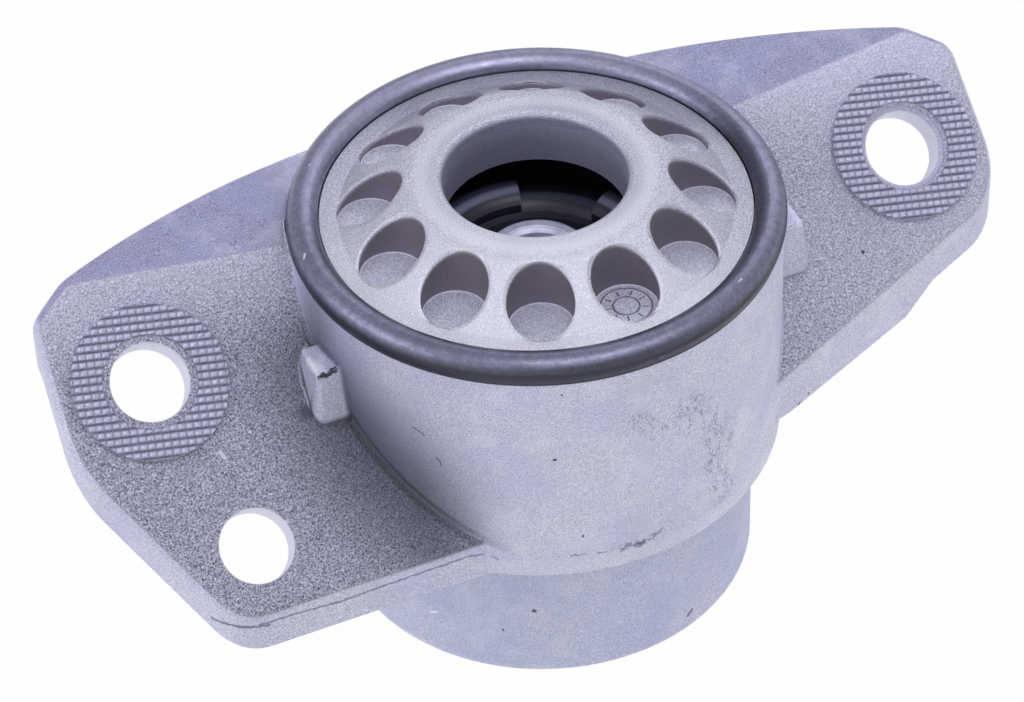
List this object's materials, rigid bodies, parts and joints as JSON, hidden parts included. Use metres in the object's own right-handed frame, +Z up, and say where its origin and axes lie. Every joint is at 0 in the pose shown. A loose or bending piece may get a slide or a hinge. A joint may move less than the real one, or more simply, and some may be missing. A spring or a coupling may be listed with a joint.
{
  "type": "strut mount",
  "caption": "Strut mount with a cast pot, an inclined two-wing flange, a die-cast cover with a ring of round pockets, and a bonded rubber bush with a metal core.",
  "frame": {"origin": "centre of the open lower mouth of the collar, on the damper rod's axis", "axes": "+Z up along the damper rod's axis, towards the cover; +X from the third hole's side to the chamfered bolt hole, through both bolt holes; the flange face looks towards -Y and +Z"},
  "size_m": [0.1413, 0.0692, 0.0675],
  "materials": {
    "cast_housing": "as cast, coarse grain; rolled lip burnished",
    "cast_cover": "as cast, fine grain",
    "black_rubber": "satin",
    "core_metal": "turned"
  },
  "bodies": {
    "root": {"housing": "cast_housing", "cover": "cast_cover", "bush": "black_rubber", "core": "core_metal"}
  },
  "joints": []
}
